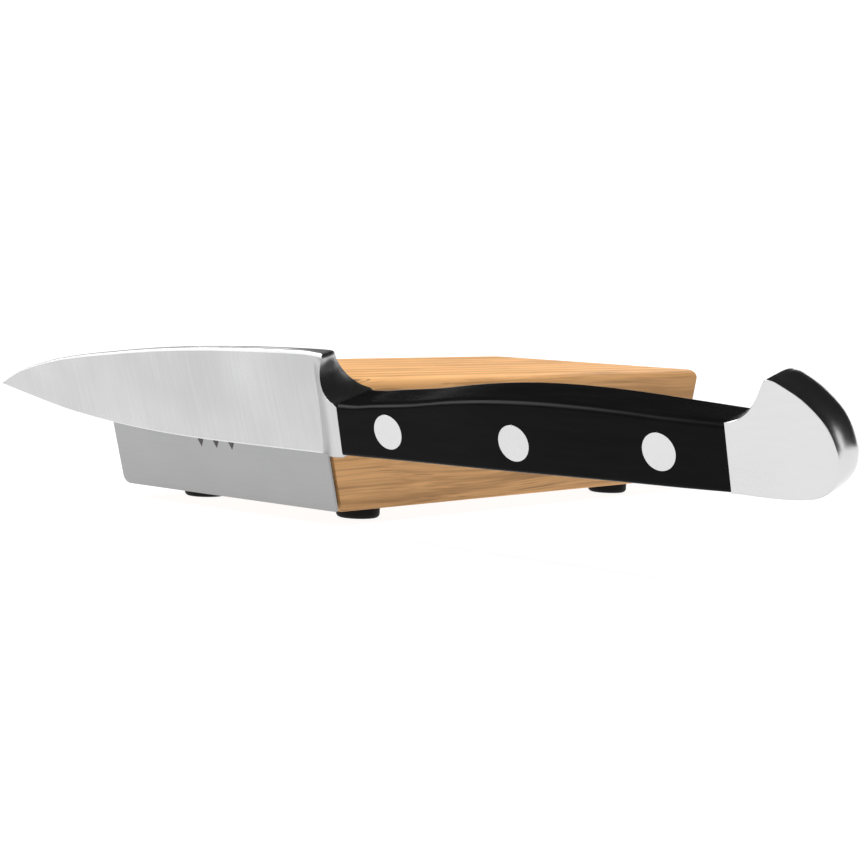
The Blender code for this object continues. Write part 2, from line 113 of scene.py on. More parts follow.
SCALE_FRONT = 11.25
SCALE_BACK = 98.0
FRONT_JOINT_LEAN = 0.038
HALF_THICKNESS = [(11.2, 5.5), (24.0, 5.7), (54.6, 6.3), (85.2, 5.6), (98.0, 4.9)]
HANDLE_TOP = [(11.2, 25.4), (15.4, 25.5), (20.1, 26.0), (29.6, 26.9), (39.1, 28.2), (48.5, 29.1),
              (58.0, 29.5), (67.4, 29.5), (76.9, 29.2), (86.3, 28.7), (98.0, 28.2)]
HANDLE_BOTTOM = [(11.2, 15.0), (39.0, 15.6), (67.0, 16.1), (98.0, 16.1)]
HANDLE_TOP_RADIUS = 1.7
HANDLE_LOW_RADIUS = 0.8
HANDLE_MIDDLE_INSET = 0.01
SCALE_END_PLAY = 0.04
SCALE_STEPS = 60

RIVET_X = (24.0, 54.4, 84.9)
RIVET_Z = (20.9, 21.5, 22.4)
RIVET_HEAD_RADIUS = 3.4
RIVET_HEAD_DEPTH = 2.0
RIVET_TUBE_RADIUS = 2.3
RIVET_TUBE_END = -1.0
RIVET_PIN_END = 1.3
RIVET_RIM = 0.08
RIVET_CROWN = 0.01
RIVET_PLAY = 0.04
HOLE_REACH = 12.0

POMMEL_OUTLINE = [(98.0, 28.3), (100.4, 29.1), (102.7, 30.8), (104.3, 33.0), (105.8, 35.6),
                  (107.3, 35.9), (109.7, 34.8), (112.8, 32.7), (115.8, 29.4), (117.4, 25.6),
                  (117.8, 22.3), (116.8, 18.9), (114.2, 16.7), (110.4, 15.9), (104.0, 15.8),
                  (98.0, 16.1)]
POMMEL_RIM = 0.45
HALF_AT_BUTT = 3.8
BUTT_X = 117.8
BUTT_BULGE = 1.54
BULGE_ANGLE = math.radians(35)
BULGE_START = (103.8, 108.8)
FAR_ROUNDING = 1.3
FAR_ROUNDING_START = (103.6, 106.6)
HORN_START = (103.6, 105.4)
HORN_END = (107.6, 109.4)
HORN_RIM_SHARE = 0.4


# ---------------------------------------------------------------- shapes

def mix(a, b, s):
    return a + (b - a) * s


def ease(value, start, end):
    """0 before start, 1 after end, smooth between."""
    s = min(max((value - start) / (end - start), 0.0), 1.0)
    return s * s * (3 - 2 * s)


def through(stations):
    """A smooth height over x through a few (x, height) stations."""
    xs = [x for x, _ in stations]
    hs = [h for _, h in stations]
    last = len(xs) - 1

    def slope(i):
        a, b = max(i - 1, 0), min(i + 1, last)
        return (hs[b] - hs[a]) / (xs[b] - xs[a])

    def height(x):
        i = 0
        while i < last - 1 and x > xs[i + 1]:
            i += 1
        span = xs[i + 1] - xs[i]
        s = min(max((x - xs[i]) / span, 0.0), 1.0)
        low = 2 * s ** 3 - 3 * s ** 2 + 1
        return (low * hs[i] + (1 - low) * hs[i + 1] + (s ** 3 - 2 * s ** 2 + s) * span * slope(i)
                + (s ** 3 - s ** 2) * span * slope(i + 1))

    return height


def arc(centre, radius, start, end, steps):
    """Points on an arc between two angles in degrees, ends included."""
    angles = [math.radians(mix(start, end, i / steps)) for i in range(steps + 1)]
    return [(centre[0] + radius * math.cos(a), centre[1] + radius * math.sin(a)) for a in angles]


def loft(rings):
    """A closed body through equal rings of points, with a flat face at each end."""
    bm = bmesh.new()
    made = [[bm.verts.new(point) for point in ring] for ring in rings]
    count = len(made[0])
    for near, far in zip(made, made[1:]):
        for i in range(count):
            j = (i + 1) % count
            bm.faces.new((near[i], near[j], far[j], far[i]))
    bm.faces.new(reversed(made[0]))
    bm.faces.new(made[-1])
    return bm


def turned(profile, segments=64):
    """A body turned about Z from (radius, height) points; ends on the axis close it."""
    bm = bmesh.new()
    rings = []
    for radius, height in profile:
        if radius < 1e-6:
            rings.append([bm.verts.new((0, 0, height))])
            continue
        angles = [2 * math.pi * i / segments for i in range(segments)]
        rings.append([bm.verts.new((radius * math.cos(a), radius * math.sin(a), height))
                      for a in angles])
    for low, high in zip(rings, rings[1:]):
        for i in range(segments):
            j = (i + 1) % segments
            corners = [low[i % len(low)], low[j % len(low)], high[j % len(high)],
                       high[i % len(high)]]
            bm.faces.new(list(dict.fromkeys(corners)))
    return bm


def across_knife(body, x, z):
    """Moves a body turned about Z so that its axis runs through the knife at (x, z)."""
    turn = Matrix.Rotation(math.pi / 2, 4, "X")
    body.transform(Matrix.Translation((x, -KNIFE_DEPTH, z)) @ turn)
    return body


def new_object(name, bm, place=Matrix(), finishes=()):
    """A smooth-shaded object from a body in millimetres, its place worked into its mesh.

    Doubled points, where two stretches of a profile meet, become one.
    """
    bmesh.ops.remove_doubles(bm, verts=bm.verts, dist=SAME_POINT)
    bmesh.ops.recalc_face_normals(bm, faces=bm.faces)
    bmesh.ops.scale(bm, vec=(MM, MM, MM), verts=bm.verts)
    bm.transform(place)
    mesh = bpy.data.meshes.new(name)
    bm.to_mesh(mesh)
    bm.free()
    mesh.shade_smooth()
    for finish in finishes:
        mesh.materials.append(finish)
    made = bpy.data.objects.new(name, mesh)
    bpy.context.collection.objects.link(made)
    return made


def sharpen(item, degrees):
    item.data.set_sharp_from_angle(angle=math.radians(degrees))


def carve(item, cutter):
    """Cuts the cutter out of item for good, and removes the cutter."""
    step = item.modifiers.new("carve", "BOOLEAN")
    step.object = cutter
    bpy.context.view_layer.update()
    shape = item.evaluated_get(bpy.context.evaluated_depsgraph_get())
    carved = bpy.data.meshes.new_from_object(shape)
    item.modifiers.clear()
    item.data = carved
    bpy.data.objects.remove(cutter, do_unlink=True)


def settle(item, body, slot, *nodes):
    """Gives a piece its body and hides the CAD nodes that it stands for; the slot is not used."""
    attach(item, body)
    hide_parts(*nodes)


# ---------------------------------------------------------------- materials

def add(tree, kind, inputs=None, **settings):
    """Adds a node; an input is given a number, a colour or another node's output."""
    made = tree.nodes.new(kind)
    for key, value in settings.items():
        setattr(made, key, value)
    for socket, value in (inputs or {}).items():
        if isinstance(value, bpy.types.NodeSocket):
            tree.links.new(value, made.inputs[socket])
        else:
            made.inputs[socket].default_value = value
    return made


def new_material(name, roughness, metallic=0.0, specular=0.5):
    made = bpy.data.materials.new(name)
    made.use_nodes = True
    tree = made.node_tree
    shader = tree.nodes["Principled BSDF"]
    shader.inputs["Roughness"].default_value = roughness
    shader.inputs["Metallic"].default_value = metallic
    shader.inputs["Specular IOR Level"].default_value = specular
    return made, tree, shader


def stretched_noise(tree, per_metre, detail=3.0, vector=None):
    """Noise in object space, with its own frequency along each axis."""
    source = vector or add(tree, "ShaderNodeTexCoord").outputs["Object"]
    scaled = add(tree, "ShaderNodeMapping", {"Vector": source, "Scale": per_metre})
    return add(tree, "ShaderNodeTexNoise", {"Vector": scaled.outputs["Vector"], "Scale": 1.0,
                                            "Detail": detail}).outputs["Fac"]


def leaned_point(tree):
    """The surface point turned back by the plate's lean, so that a pattern follows the plate."""
    point = add(tree, "ShaderNodeTexCoord").outputs["Object"]
    return add(tree, "ShaderNodeMapping", {"Vector": point, "Rotation": (-END_LEAN, 0, 0)}).outputs[0]


def between(tree, value, low, high, out_low=0.0, out_high=1.0):
    """Maps a value from one range to another, held at both ends."""
    made = add(tree, "ShaderNodeMapRange", {"Value": value, "From Min": low, "From Max": high,
                                            "To Min": out_low, "To Max": out_high})
    return made.outputs["Result"]


def blend_colours(tree, share, first, second):
    made = add(tree, "ShaderNodeMix", data_type="RGBA")
    for socket, value in ((0, share), (6, first), (7, second)):
        if isinstance(value, bpy.types.NodeSocket):
            tree.links.new(value, made.inputs[socket])
        elif isinstance(value, tuple):
            made.inputs[socket].default_value = (*value, 1.0)
        else:
            made.inputs[socket].default_value = value
    return made.outputs[2]


def math_node(tree, operation, first, second=0.0):
    return add(tree, "ShaderNodeMath", {0: first, 1: second}, operation=operation).outputs[0]


def add_bump(tree, shader, height, depth_mm, strength=1.0):
    made = add(tree, "ShaderNodeBump", {"Height": height, "Distance": depth_mm * MM,
                                        "Strength": strength})
    tree.links.new(made.outputs["Normal"], shader.inputs["Normal"])


BRUSH_DEPTH_MM = 0.001


def steel(name, shade, roughness, brush_per_metre, contrast=0.05):
    """Satin steel: fine brush lines, and slow patches where it was polished a little more."""
    made, tree, shader = new_material(name, roughness, metallic=1.0)
    point = leaned_point(tree)
    lines = stretched_noise(tree, brush_per_metre, detail=4.0, vector=point)
    patches = stretched_noise(tree, (45, 45, 45), detail=2.0, vector=point)
    both = math_node(tree, "ADD", math_node(tree, "MULTIPLY", lines, 0.3),
                     math_node(tree, "MULTIPLY", patches, 0.7))
    dark = tuple(c * (1 - contrast) for c in shade)
    bright = tuple(min(1.0, c * (1 + contrast)) for c in shade)
    colour = blend_colours(tree, between(tree, both, 0.35, 0.65), dark, bright)
    tree.links.new(colour, shader.inputs["Base Color"])
    rough = between(tree, both, 0.3, 0.7, roughness + 0.05, roughness - 0.05)
    tree.links.new(rough, shader.inputs["Roughness"])
    add_bump(tree, shader, lines, BRUSH_DEPTH_MM)
    return made


def black_plastic():
    """Moulded plastic, buffed: faint polish marks along the handle."""
    made, tree, shader = new_material("handle_plastic", 0.24, specular=0.05)
    marks = stretched_noise(tree, (90, 500, 700), detail=5.0)
    colour = blend_colours(tree, between(tree, marks, 0.35, 0.65), (0.0032, 0.0032, 0.0033),
                           (0.0045, 0.0045, 0.0046))
    tree.links.new(colour, shader.inputs["Base Color"])
    tree.links.new(between(tree, marks, 0.3, 0.7, 0.22, 0.27), shader.inputs["Roughness"])
    grit = stretched_noise(tree, (2500, 2500, 2500), detail=2.0)
    add_bump(tree, shader, grit, BRUSH_DEPTH_MM)
    return made


def plain(name, dark, bright, roughness, per_metre, metallic=0.0, depth_mm=0.01, specular=0.5):
    """A simple mottled finish, for rubber, tape and the pieces inside."""
    made, tree, shader = new_material(name, roughness, metallic, specular)
    grain = stretched_noise(tree, per_metre, detail=4.0)
    tree.links.new(blend_colours(tree, between(tree, grain, 0.35, 0.65), dark, bright),
                   shader.inputs["Base Color"])
    tree.links.new(between(tree, grain, 0.3, 0.7, roughness - 0.06, roughness + 0.06),
                   shader.inputs["Roughness"])
    add_bump(tree, shader, grain, depth_mm)
    return made


WOOD_LIGHT = (0.74, 0.400, 0.160)
WOOD_DARK = (0.44, 0.224, 0.079)
WOOD_PORE = (0.17, 0.080, 0.030)
WOOD_KNOT = (0.10, 0.05, 0.022)

# The small knot, in metres, and its place from the wood's right, front and top
KNOT_HALF_LENGTH = 0.0048
KNOT_HALF_WIDTH = 0.0009
KNOT_HALF_DEPTH = 0.004
KNOT_FROM_CORNER = Vector((-0.0012, 0.0106, -0.0004))


def knot_distance(tree, point, centre):
    """0 at a knot's centre and 1 at its pointed outline, which is long in the grain direction."""
    away = add(tree, "ShaderNodeVectorMath", {0: point, 1: centre}, operation="SUBTRACT")
    parts = add(tree, "ShaderNodeSeparateXYZ", {"Vector": away.outputs[0]}).outputs
    along = math_node(tree, "ABSOLUTE", math_node(tree, "DIVIDE", parts["Y"], KNOT_HALF_LENGTH))
    wide = math_node(tree, "ABSOLUTE", math_node(tree, "DIVIDE", parts["X"], KNOT_HALF_WIDTH))
    deep = math_node(tree, "ABSOLUTE", math_node(tree, "DIVIDE", parts["Z"], KNOT_HALF_DEPTH))
    wide = math_node(tree, "POWER", wide, 1.5)
    return math_node(tree, "ADD", math_node(tree, "ADD", along, wide), deep)


def oiled_oak(knot_centre):
    """Oiled wood: slow bands of colour, fine fibres and short dark pores, all along Y."""
    made, tree, shader = new_material("oiled_oak", 0.5, specular=0.35)
    point = add(tree, "ShaderNodeTexCoord").outputs["Object"]
    drift = add(tree, "ShaderNodeTexNoise", {
        "Vector": add(tree, "ShaderNodeMapping", {"Vector": point, "Scale": (30, 9, 30)}).outputs[0],
        "Scale": 1.0, "Detail": 2.0}).outputs["Color"]
    shift = add(tree, "ShaderNodeVectorMath", {0: drift, 1: (0.5, 0.5, 0.5)}, operation="SUBTRACT")
    shift = add(tree, "ShaderNodeVectorMath", {0: shift.outputs[0], "Scale": 0.007},
                operation="SCALE")
    bent = add(tree, "ShaderNodeVectorMath", {0: point, 1: shift.outputs[0]}).outputs[0]

    rings = add(tree, "ShaderNodeTexWave", {
        "Vector": add(tree, "ShaderNodeMapping", {
            "Vector": bent, "Location": (0.16, 0, 0.09), "Scale": (1, 0.06, 1)}).outputs[0],
        "Scale": 62.0, "Distortion": 1.6, "Detail": 3.0, "Detail Scale": 1.2},
        wave_type="RINGS", rings_direction="Y").outputs["Fac"]
    bands = stretched_noise(tree, (170, 7, 170), detail=3.0, vector=bent)
    fibres = stretched_noise(tree, (1300, 14, 1300), detail=5.0, vector=bent)
    hairs = stretched_noise(tree, (2600, 50, 2600), detail=2.0, vector=bent)
    pores = stretched_noise(tree, (2100, 40, 2100), detail=2.0, vector=bent)
    streaks = stretched_noise(tree, (1100, 13, 1100), detail=2.0, vector=bent)

    tone = math_node(tree, "ADD", math_node(tree, "MULTIPLY", bands, 0.6),
                     math_node(tree, "MULTIPLY", rings, 0.16))
    tone = math_node(tree, "ADD", tone, math_node(tree, "MULTIPLY", fibres, 0.55))
    tone = math_node(tree, "ADD", tone, math_node(tree, "MULTIPLY", hairs, 0.35))
    colour = blend_colours(tree, between(tree, tone, 0.70, 0.95), WOOD_DARK, WOOD_LIGHT)
    pore_share = math_node(tree, "ADD", between(tree, pores, 0.60, 0.70, 0.0, 0.45),
                           between(tree, streaks, 0.58, 0.72, 0.0, 0.4))
    colour = blend_colours(tree, pore_share, colour, WOOD_PORE)

    knot = knot_distance(tree, point, knot_centre)
    core = between(tree, knot, 0.35, 0.75, 0.75, 0.0)
    rim = math_node(tree, "MULTIPLY", between(tree, knot, 0.86, 1.0),
                    between(tree, knot, 1.0, 1.14, 0.9, 0.0))
    colour = blend_colours(tree, core, colour, WOOD_KNOT)
    colour = blend_colours(tree, rim, colour, WOOD_KNOT)
    tree.links.new(colour, shader.inputs["Base Color"])
    tree.links.new(between(tree, fibres, 0.3, 0.7, 0.44, 0.58), shader.inputs["Roughness"])
    relief = math_node(tree, "SUBTRACT", math_node(tree, "MULTIPLY", fibres, 0.4), pore_share)
    add_bump(tree, shader, relief, 0.05, strength=0.6)
    return made


# ---------------------------------------------------------------- block

def in_mm(node):
    low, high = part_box(node)
    return low / MM, high / MM


def plate_frame():
    """Placement of the plate's frame: its origin is the bottom of the plate's right edge."""
    low, high = in_mm("face_plate")
    origin = Vector((high.x, low.y + BLOCK_HEIGHT * math.tan(END_LEAN), low.z))
    return Matrix.Translation(origin * MM) @ Matrix.Rotation(END_LEAN, 4, "X")


def level_with(edge, height):
    return all(abs(vert.co.z - height) < 0.01 for vert in edge.verts)


def soften(bm, edges, width, segments):
    bmesh.ops.bevel(bm, geom=edges, offset=width, segments=segments, profile=0.5, affect="EDGES",
                    offset_type="OFFSET")


def wood_block(surface, place):
    """Both ends lean as the plate does; every top edge but the plate's is well rounded."""
    low, high = in_mm("wood_block")
    rise = BLOCK_HEIGHT * math.tan(END_LEAN)
    front = place.translation.y / MM + WOOD_SET_BACK / math.cos(END_LEAN)
    back = front + BLOCK_BOTTOM_DEPTH
    profile = {"front_low": (front, low.z), "back_low": (back, low.z),
               "back_top": (back + rise, high.z), "front_top": (front - rise, high.z)}
    order = list(profile)
    bm = bmesh.new()
    corners = {(x, spot): bm.verts.new((x, *profile[spot]))
               for x in (low.x, high.x) for spot in order}
    bm.faces.new([corners[high.x, spot] for spot in order])
    bm.faces.new([corners[low.x, spot] for spot in reversed(order)])
    for a, b in zip(order, order[1:] + order[:1]):
        bm.faces.new((corners[low.x, a], corners[low.x, b], corners[high.x, b],
                      corners[high.x, a]))
    at_plate = {corners[x, spot] for x in (low.x, high.x) for spot in ("front_low", "front_top")}
    rounded = [e for e in bm.edges if level_with(e, high.z) and not set(e.verts) <= at_plate]
    others = [e for e in bm.edges if e not in rounded]
    soften(bm, rounded, TOP_EDGE_RADIUS, 8)
    others = [e for e in others if e.is_valid and e.calc_length() > 5]
    soften(bm, [e for e in others if not level_with(e, low.z)], SMALL_EDGE_CHAMFER, 1)
    soften(bm, [e for e in bm.edges if level_with(e, low.z)], UNDER_EDGE_CHAMFER, 1)
    block = new_object("oak_block", bm, finishes=(surface,))
    sharpen(block, 40)
    settle(block, "block", "oak", "wood_block")


def plate_width():
    low, high = in_mm("face_plate")
    return high.x - low.x


def plate_outline(inset, left_radius=PLATE_LEFT_CORNER, right_radius=PLATE_RIGHT_CORNER):
    """The plate's outline in its own frame, moved inwards by an inset."""
    left, right = -plate_width() + inset, -inset
    low, high = inset, BLOCK_HEIGHT / math.cos(END_LEAN) - inset
    lr, rr = max(left_radius - inset, 0.1), max(right_radius - inset, 0.1)
    return (arc((left + lr, low + lr), lr, 180, 270, 12)
            + arc((right - rr, low + rr), rr, 270, 360, 6)
            + arc((right - rr, high - rr), rr, 0, 90, 6)
            + arc((left + lr, high - lr), lr, 90, 180, 12))


def diamond(x):
    """A pointed punch on the plate's front plane, half of it in front and half in the plate."""
    bm = bmesh.new()
    base = [bm.verts.new((x + across, -MARK_DEPTH, MARK_HEIGHT + up)) for across, up in (
        (-MARK_HALF_WIDTH, 0), (0, -MARK_HALF_HEIGHT), (MARK_HALF_WIDTH, 0), (0, MARK_HALF_HEIGHT))]
    peak = bm.verts.new((x, MARK_DEPTH, MARK_HEIGHT))
    bm.faces.new(base)
    for a, b in zip(base, base[1:] + base[:1]):
        bm.faces.new((a, b, peak)).material_index = MARK_FINISH
    return bm


def face_plate(surface, mark_surface, place):
    """The steel plate with softened edges and three marks pressed into its middle."""
    r, t, flat = PLATE_EDGE_RADIUS, PLATE_THICKNESS, PLATE_SUPPORT_INSET
    sections = [(flat, 0.0), (r, 0.0), (0.3 * r, 0.3 * r), (0.0, r), (0.0, t - r),
                (0.3 * r, t - 0.3 * r), (r, t), (flat, t)]
    rings = [[(x, y, z) for x, z in plate_outline(inset)] for inset, y in sections]
    finishes = (surface, mark_surface)
    plate = new_object("steel_plate", loft(rings), place, finishes)
    for i in (-1, 0, 1):
        mark = diamond(-plate_width() / 2 + i * MARK_PITCH)
        carve(plate, new_object("mark", mark, place, finishes))
    sharpen(plate, 25)
    settle(plate, "block", "satin_plate", "face_plate")


def bonding_tape(surface, place):
    rings = [[(x, y, z) for x, z in plate_outline(TAPE_INSET, 1.0, 1.0)]
             for y in (PLATE_THICKNESS + 0.01, WOOD_SET_BACK - 0.01)]
    tape = new_object("plate_tape", loft(rings), place, (surface,))
    sharpen(tape, 30)
    settle(tape, "block", "tape", "bonding_tape")


def foot_profile(radius, bottom, top):
    """A low disc in section, with a soft top edge and a well rounded bottom edge."""
    soft, edge = FOOT_TOP_RADIUS, FOOT_EDGE_RADIUS
    profile = [(0.0, top), (radius - soft, top)]
    profile += arc((radius - soft, top - soft), soft, 90, 0, 3)
    profile += arc((radius - edge, bottom + edge), edge, 0, -90, 8)
    return profile + [(radius - edge - FOOT_FLAT_RING, bottom), (0.0, bottom)]


def feet(surface):
    top = in_mm("wood_block")[0].z - FIT_GAP
    for node in ("foot_front_left", "foot_front_right", "foot_back_left", "foot_back_right"):
        low, high = in_mm(node)
        body = turned(foot_profile((high.x - low.x) / 2, low.z, top))
        middle = ((low.x + high.x) / 2, (low.y + high.y) / 2, 0)
        bmesh.ops.translate(body, vec=middle, verts=body.verts)
        foot = new_object("rubber_" + node, body, finishes=(surface,))
        sharpen(foot, 50)
        settle(foot, "block", "rubber", node)


# ---------------------------------------------------------------- knife

spine_line = through(BLADE_SPINE)
edge_line = through(BLADE_EDGE)
handle_top = through(HANDLE_TOP)
handle_bottom = through(HANDLE_BOTTOM)
half_thickness = through(HALF_THICKNESS)
plunge_line = through(PLUNGE)


def blade_growth(x):
    """0 at the tip, 1 from the plate's right edge on."""
    return min(max(1 - x / TIP_X, 0.0), 1.0)


def bottom_line(x):
    bolster = BOLSTER_LOW + BOLSTER_RISE * (x - HEEL_X)
    return mix(edge_line(min(x, 0.0)), bolster, ease(x, HEEL_X - 0.6, HEEL_X))


def top_line(x):
    """The spine, dipping a little where it ends at the scoop."""
    return spine_line(min(x, SPINE_END_X)) - SPINE_END_DROP * ease(x, SPINE_END_X - 1.2, SPINE_END_X + 0.2)


def right_line(z):
    """Where the bolster ends at a height: at the handle joint, or at the scoop above it."""
    (cx, cz), r = SCOOP_CENTRE, SCOOP_RADIUS
    joint = SCALE_FRONT + FRONT_JOINT_LEAN * (z - 20.0)
    if z <= cz - r:
        return joint
    return min(joint, cx - math.sqrt(max(r * r - (z - cz) ** 2, 0.0)))


def plunge_x(z):
    """Where the blade's flat side ends; its upper corner is rounded."""
    start, reach = PLUNGE_CORNER
    s = min(max((z - start) / (BOLSTER_TOP - start), 0.0), 1.0)
    return plunge_line(z) - reach * s * s


def flare(s):
    """The bolster's growth from plunge to joint: a short hollow, then a slope that eases off."""
    h = HOLLOW_SHARE
    if s < h:
        grown = s * s / (2 * h)
    else:
        u = (s - h) / (1 - h)
        grown = h / 2 + (1 - h) * (u - FLARE_EASE * u * u)
    return grown / (h / 2 + (1 - h) * (1 - FLARE_EASE))


def half_at(x, z, share):
    """Half the knife's thickness at a point, share being its height between edge and spine."""
    spine = mix(HALF_TIP, HALF_SPINE, blade_growth(x) ** 0.7)
    bevel = HALF_BEVEL * min(1.0, blade_growth(x) * 12 + 0.2)
    if share < BEVEL_SHARE:
        blade = mix(HALF_EDGE, bevel, share / BEVEL_SHARE)
    else:
        blade = mix(bevel, spine, (share - BEVEL_SHARE) / (1 - BEVEL_SHARE))
    start, end = plunge_x(z), SCALE_FRONT
    if x <= start:
        return blade
    rise = max(z - BOLSTER_SHOULDER, 0.0) / (BOLSTER_TOP - BOLSTER_SHOULDER)
    arched = max(1 - rise * rise, 0.0) ** 0.85
    full = mix(BOLSTER_HALF_TOP, half_thickness(SCALE_FRONT), arched)
    return mix(blade, full, flare(min((x - start) / (end - start), 1.0)))


def row_shares():
    """Heights of the rows between edge and spine: closer at the bevel and where the scoop begins."""
    height = BOLSTER_TOP - BOLSTER_LOW
    scoop_low = (SCOOP_CENTRE[1] - SCOOP_RADIUS - 0.1 - BOLSTER_LOW) / height
    scoop_mid = (SCOOP_CENTRE[1] - SCOOP_RADIUS + 1.4 - BOLSTER_LOW) / height
    shares = [0.0, BEVEL_SHARE * 0.5, BEVEL_SHARE]
    shares += [mix(BEVEL_SHARE, scoop_low, i / 14) for i in range(1, 15)]
    shares += [mix(scoop_low, scoop_mid, (i / 12) ** 1.6) for i in range(1, 13)]
    shares += [mix(scoop_mid, 1.0, i / 26) for i in range(1, 27)]
    return shares


BLADE_COLUMNS = 64
BOLSTER_COLUMNS = 28
SIDE_FINISH = 0
# The spine's faces: a rougher ground finish, and a lighter steel that paints a bright highlight band along
# the spine.
SPINE_HIGHLIGHT_FINISH = 1
# The edge bevel's faces: a smoother polished finish, and a lighter steel that paints a thin highlight line
# along the edge.
EDGE_HIGHLIGHT_FINISH = 2


def sheet_point(share, column):
    """A point of the side sheet, kept in from the outline by the rounding of its rim.

    Its x and its height depend on each other, so both are settled by a few rounds.
    """
    x = z = 20.0
    for _ in range(6):
        z = mix(bottom_line(x) + rim_low(x), top_line(x) - rim_top(x), share)
        start, end = plunge_x(z), right_line(z) - rim_right(z)
        if column <= BLADE_COLUMNS:
            x = mix(TIP_X + 0.05, min(start, end), (column / BLADE_COLUMNS) ** 0.9)
        else:
            s = (column - BLADE_COLUMNS) / BOLSTER_COLUMNS
            x = mix(min(start, end), end, s ** 1.25)
    return x, z


def rim_low(x):
    return mix(0.015, 0.3, ease(x, HEEL_X - 0.4, HEEL_X + 2.5))


def rim_top(x):
    return SPINE_RADIUS * mix(HALF_TIP, HALF_SPINE, blade_growth(x) ** 0.7) / HALF_SPINE


def rim_right(z):
    return mix(0.04, SCOOP_RIM, ease(z, 25.2, 26.2))


def rim_points(shares):
    """Round the sheet: (share, column, point on the outline, rim radius, outward, crown)."""
    last = BLADE_COLUMNS + BOLSTER_COLUMNS
    for column in range(last):
        x, _ = sheet_point(shares[0], column)
        yield 0, column, (x, bottom_line(x)), rim_low(x), (0, -1), 0.0
    for row, share in enumerate(shares[:-1]):
        x, z = sheet_point(share, last)
        (cx, cz), r = SCOOP_CENTRE, SCOOP_RADIUS
        outward = ((cx - x) / r, (cz - z) / r)
        z = bottom_line(x) if row == 0 else z
        crown = SCOOP_CROWN * ease(z, 25.6, 28.5) * (1 - ease(z, 30.5, 33.6))
        yield row, last, (right_line(z), z), rim_right(z), outward, crown
    for column in range(last, 0, -1):
        x, z = sheet_point(1.0, column)
        x = right_line(z) if column == last else x
        crown = SPINE_CROWN * blade_growth(x) * (1 - ease(x, -6.0, 4.0))
        yield len(shares) - 1, column, (x, top_line(x)), rim_top(x), (0, 1), crown
    for row in range(len(shares) - 1, 0, -1):
        _, z = sheet_point(shares[row], 0)
        yield row, 0, (TIP_X, z), 0.02, (-1, 0), 0.0


RIM_STEPS = 4


def rim_section(near, outline, half, radius, outward, crown):
    """Points from the near sheet over the rounded rim and across to the middle of the knife."""
    radius = min(radius, half * 0.8)
    (ix, iz), (ox, oz) = near, outline
    points = []
    for i in range(1, RIM_STEPS + 1):
        s = i / RIM_STEPS
        reach = 1 - (1 - s) ** 2
        points.append((mix(ix, ox, reach), mix(iz, oz, reach), half - radius * s * s))
    for i in range(1, RIM_STEPS + 1):
        level = 1 - i / RIM_STEPS
        out = crown * (1 - level * level)
        points.append((ox + outward[0] * out, oz + outward[1] * out, (half - radius) * level))
    return points


def blade_and_bolster():
    """Both side sheets and the band round them, as one closed body."""
    shares = row_shares()
    last = BLADE_COLUMNS + BOLSTER_COLUMNS
    bm = bmesh.new()
    grid = {}
    for row, share in enumerate(shares):
        for column in range(last + 1):
            x, z = sheet_point(share, column)
            half = half_at(x, z, share)
            for side in (-1, 1):
                grid[side, row, column] = bm.verts.new((x, -KNIFE_DEPTH + side * half, z))
    for side in (-1, 1):
        for row in range(len(shares) - 1):
            for column in range(last):
                face = bm.faces.new([grid[side, row + a, column + b]
                                     for a, b in ((0, 0), (0, 1), (1, 1), (1, 0))])
                # Bevel faces take the lighter steel: a painted highlight line.
                on_bevel = shares[row] < BEVEL_SHARE and column < BLADE_COLUMNS
                face.material_index = EDGE_HIGHLIGHT_FINISH if on_bevel else SIDE_FINISH
    band = []
    for row, column, outline, radius, outward, crown in rim_points(shares):
        near = grid[-1, row, column].co
        half = -KNIFE_DEPTH - near.y
        section = rim_section((near.x, near.z), outline, half, radius, outward, crown)
        # Spine faces take the lighter steel: a painted highlight.
        on_spine = outward == (0, 1)
        strip = [grid[-1, row, column]]
        strip += [bm.verts.new((x, -KNIFE_DEPTH - y, z)) for x, z, y in section]
        strip += [bm.verts.new((x, -KNIFE_DEPTH + y, z)) for x, z, y in reversed(section[:-1])]
        strip.append(grid[1, row, column])
        band.append((strip, on_spine))
    for (first, on_spine), (second, _) in zip(band, band[1:] + band[:1]):
        for i in range(len(first) - 1):
            face = bm.faces.new((first[i], first[i + 1], second[i + 1], second[i]))
            face.material_index = SPINE_HIGHLIGHT_FINISH if on_spine else SIDE_FINISH
    return bm


def smoothed(points, steps):
    """A finer outline through the same points; its first and last points stay the ends."""
    fine = []
    last = len(points) - 1
    for i in range(last):
        a, b = Vector(points[max(i - 1, 0)]), Vector(points[i])
        c, d = Vector(points[i + 1]), Vector(points[min(i + 2, last)])
        for k in range(steps):
            s = k / steps
            fine.append(0.5 * (2 * b + (c - a) * s + (2 * a - 5 * b + 4 * c - d) * s ** 2
                               + (3 * b - a - 3 * c + d) * s ** 3))
    return fine + [Vector(points[-1])]


def outline_normal(points, i):
    """Outward direction at a corner of an outline that runs clockwise."""
    along = (points[(i + 1) % len(points)] - points[i - 1]).normalized()
    return Vector((-along.y, along.x))


def pommel_half(x):
    return mix(half_thickness(SCALE_BACK), HALF_AT_BUTT, (x - SCALE_BACK) / (BUTT_X - SCALE_BACK))


